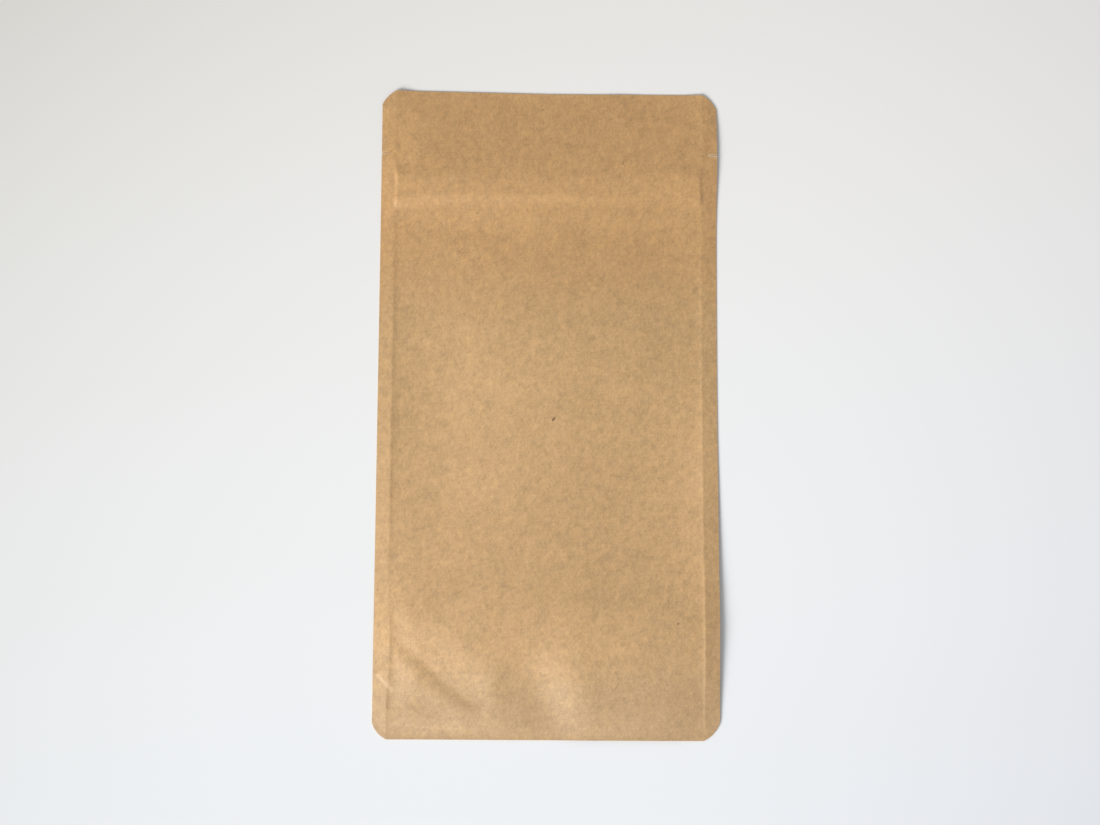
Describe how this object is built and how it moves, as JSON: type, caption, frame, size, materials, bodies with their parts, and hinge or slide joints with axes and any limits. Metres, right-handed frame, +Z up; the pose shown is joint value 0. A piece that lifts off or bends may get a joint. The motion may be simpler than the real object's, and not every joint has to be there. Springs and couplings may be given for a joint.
{
  "type": "kraft stand-up pouch",
  "caption": "Flat, empty kraft paper stand-up pouch lying on its back, with side seals, a press-to-close zipper band, tear notches and a folded bottom gusset.",
  "frame": {"origin": "centre of the bounding box's bottom face, on the surface under the middle of the pouch", "axes": "+X across the width to the right as seen from the front, +Y along the height towards the mouth, +Z up out of the front panel"},
  "size_m": [0.12, 0.229, 0.0055],
  "materials": {
    "kraft_paper": "matte brown kraft paper with fine fibres, laminated inside"
  },
  "bodies": {
    "root": {"pouch": "kraft_paper"}
  },
  "joints": []
}
